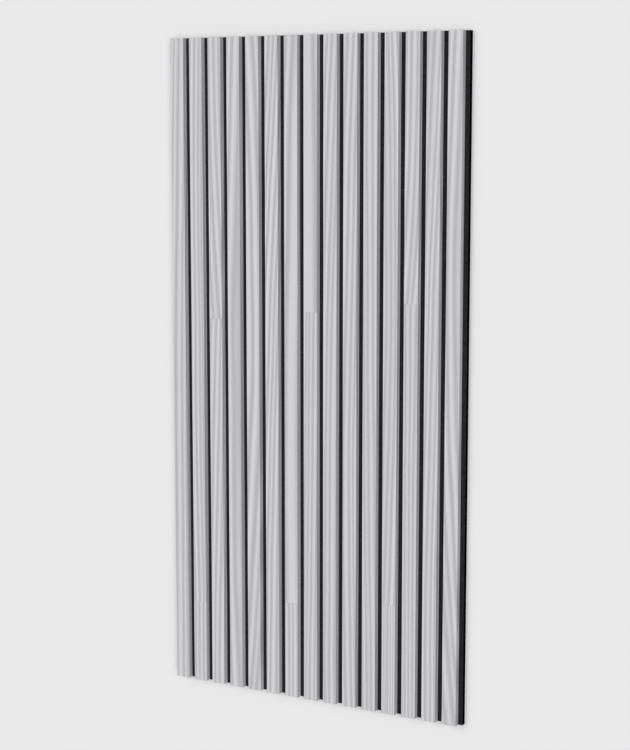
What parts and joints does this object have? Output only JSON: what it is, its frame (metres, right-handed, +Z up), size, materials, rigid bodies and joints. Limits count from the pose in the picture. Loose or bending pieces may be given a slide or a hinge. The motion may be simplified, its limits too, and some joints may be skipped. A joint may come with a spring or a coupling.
{
  "type": "acoustic slat panel",
  "caption": "Wall and ceiling panel of narrow light grey wood-grain slats glued side by side, with even gaps, to a sheet of black sound-absorbing felt.",
  "frame": {"origin": "middle of the felt's back face, on the floor that the panel lies on", "axes": "+X across the slats, +Y along the slats, +Z up out of the slat faces"},
  "size_m": [0.6, 1.2, 0.02],
  "materials": {
    "black_felt": "matt needled polyester felt, black",
    "grey_wood": "matt light grey wood grain, streaks along the slat"
  },
  "bodies": {
    "root": {"felt_backing": "black_felt", "slat_01": "grey_wood", "slat_02": "grey_wood", "slat_03": "grey_wood", "slat_04": "grey_wood", "slat_05": "grey_wood", "slat_06": "grey_wood", "slat_07": "grey_wood", "slat_08": "grey_wood", "slat_09": "grey_wood", "slat_10": "grey_wood", "slat_11": "grey_wood", "slat_12": "grey_wood", "slat_13": "grey_wood", "slat_14": "grey_wood", "slat_15": "grey_wood"}
  },
  "joints": []
}
